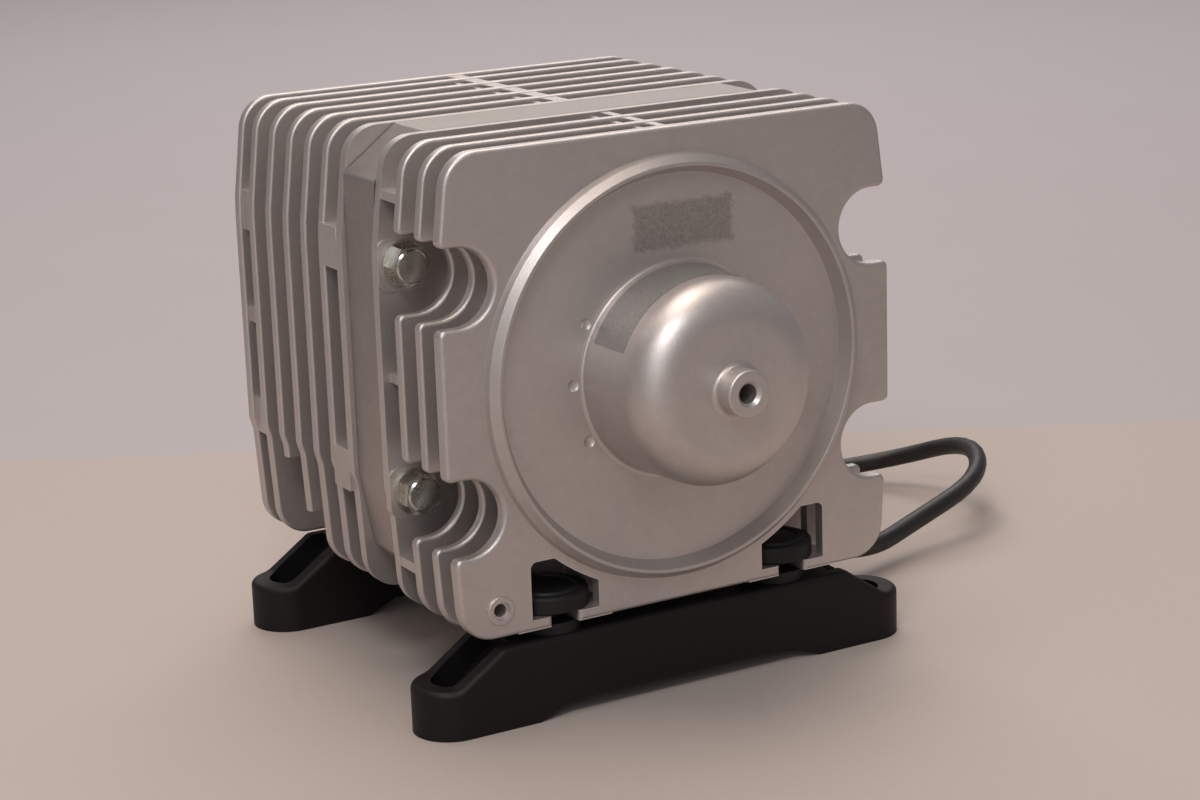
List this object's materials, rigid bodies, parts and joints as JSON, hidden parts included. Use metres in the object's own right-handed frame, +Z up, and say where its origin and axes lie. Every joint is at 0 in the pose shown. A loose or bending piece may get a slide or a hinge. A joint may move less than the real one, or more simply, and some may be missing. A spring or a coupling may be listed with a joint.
{
  "type": "linear piston aquarium air pump",
  "caption": "Finned cast-aluminium linear piston air pump with a domed outlet cover, nozzle, rubber isolators, two cast feet and a mains cord.",
  "frame": {"origin": "on the floor, under the centre of the pump's own bounding box (cord and plug left out)", "axes": "+Z up, -Y towards the outlet dome at the front, X along the feet"},
  "size_m": [0.3301, 0.3871, 0.2065],
  "materials": {
    "cast_aluminium": "sand-textured raw die casting, light warm grey, edges a little brighter",
    "cast_frame": "raw casting, slightly browner than the housings",
    "foot_black": "black moulding with a fine matte grain",
    "machined_aluminium": "turned, satin",
    "gasket_rubber": "thin black sheet rubber",
    "isolator_rubber": "matte black moulded rubber",
    "valve_rubber": "smooth dark valve rubber",
    "ring_ptfe": "filled slippery plastic",
    "zinc_bolt": "yellowish zinc plating, glossy",
    "zinc_screw": "zinc plated",
    "shaft_steel": "ground steel",
    "spring_steel": "spring wire and strip",
    "lamination_steel": "stacked electrical steel sheets",
    "bush_bronze": "sintered bronze",
    "coil_copper": "enamelled copper windings",
    "bobbin_plastic": "natural nylon",
    "white_plastic": "white moulding",
    "black_plastic": "black moulding",
    "cover_plastic": "dark grey moulding",
    "filter_felt": "off-white felt",
    "lead_insulation": "red wire insulation",
    "cord_rubber": "black flexible jacket, slight sheen",
    "tie_plastic": "black plastic-covered wire tie",
    "plug_brass": "plain brass",
    "label_foil": "blank silver foil sticker"
  },
  "bodies": {
    "casing": {"front_plate": "cast_aluminium", "front_dome": "cast_aluminium", "front_housing": "cast_aluminium", "front_fins": "cast_aluminium", "rear_flange": "cast_aluminium", "rear_plate": "cast_aluminium", "rear_fins": "cast_aluminium", "rear_housing": "cast_aluminium", "center_frame": "cast_frame", "front_foot": "foot_black", "rear_foot": "foot_black", "front_gasket": "gasket_rubber", "rear_gasket": "gasket_rubber", "head_gasket": "gasket_rubber", "housing_bolts": "zinc_bolt", "isolators": "isolator_rubber", "isolator_screws": "zinc_screw", "label_plate": "label_foil", "cylinder_head": "machined_aluminium", "valve_cage": "white_plastic", "cage_screws": "zinc_screw", "discharge_spring": "spring_steel", "cylinder": "machined_aluminium", "cylinder_screws": "zinc_screw", "return_spring": "spring_steel", "guide_bush": "bush_bronze", "stator_core_right": "lamination_steel", "stator_core_left": "lamination_steel", "bobbin_right": "bobbin_plastic", "bobbin_left": "bobbin_plastic", "coil_right": "coil_copper", "coil_left": "coil_copper", "stator_screws": "zinc_screw", "thermal_protector": "black_plastic", "terminal_block": "white_plastic", "coil_leads": "lead_insulation", "filter_element": "filter_felt", "filter_cover": "cover_plastic", "cover_screws": "zinc_screw", "cord_gland": "cord_rubber", "power_cord": "cord_rubber", "cord_coil": "cord_rubber", "cord_tie": "tie_plastic", "plug_body": "cord_rubber", "plug_blades": "plug_brass"},
    "piston_group": {"piston": "machined_aluminium", "piston_rings": "ring_ptfe", "valve_guard": "spring_steel", "piston_screw": "zinc_screw", "piston_shaft": "shaft_steel", "armature": "lamination_steel", "spring_seat": "shaft_steel", "shaft_nut": "zinc_screw"},
    "suction_disc": {"suction_valve": "valve_rubber"},
    "discharge_disc": {"discharge_valve": "valve_rubber"}
  },
  "joints": [
    {"name": "piston_stroke", "type": "slide", "parent": "casing", "child": "piston_group", "axis": [0, 1, 0], "range_m": [-0.005, 0.005], "stiffness_N_per_m": 30000, "deforming": ["return_spring"]},
    {"name": "suction_lift", "type": "slide", "parent": "piston_group", "child": "suction_disc", "axis": [0, -1, 0], "range_m": [0, 0.001]},
    {"name": "discharge_lift", "type": "slide", "parent": "casing", "child": "discharge_disc", "axis": [0, -1, 0], "range_m": [0, 0.0012], "stiffness_N_per_m": 100, "deforming": ["discharge_spring"]}
  ]
}
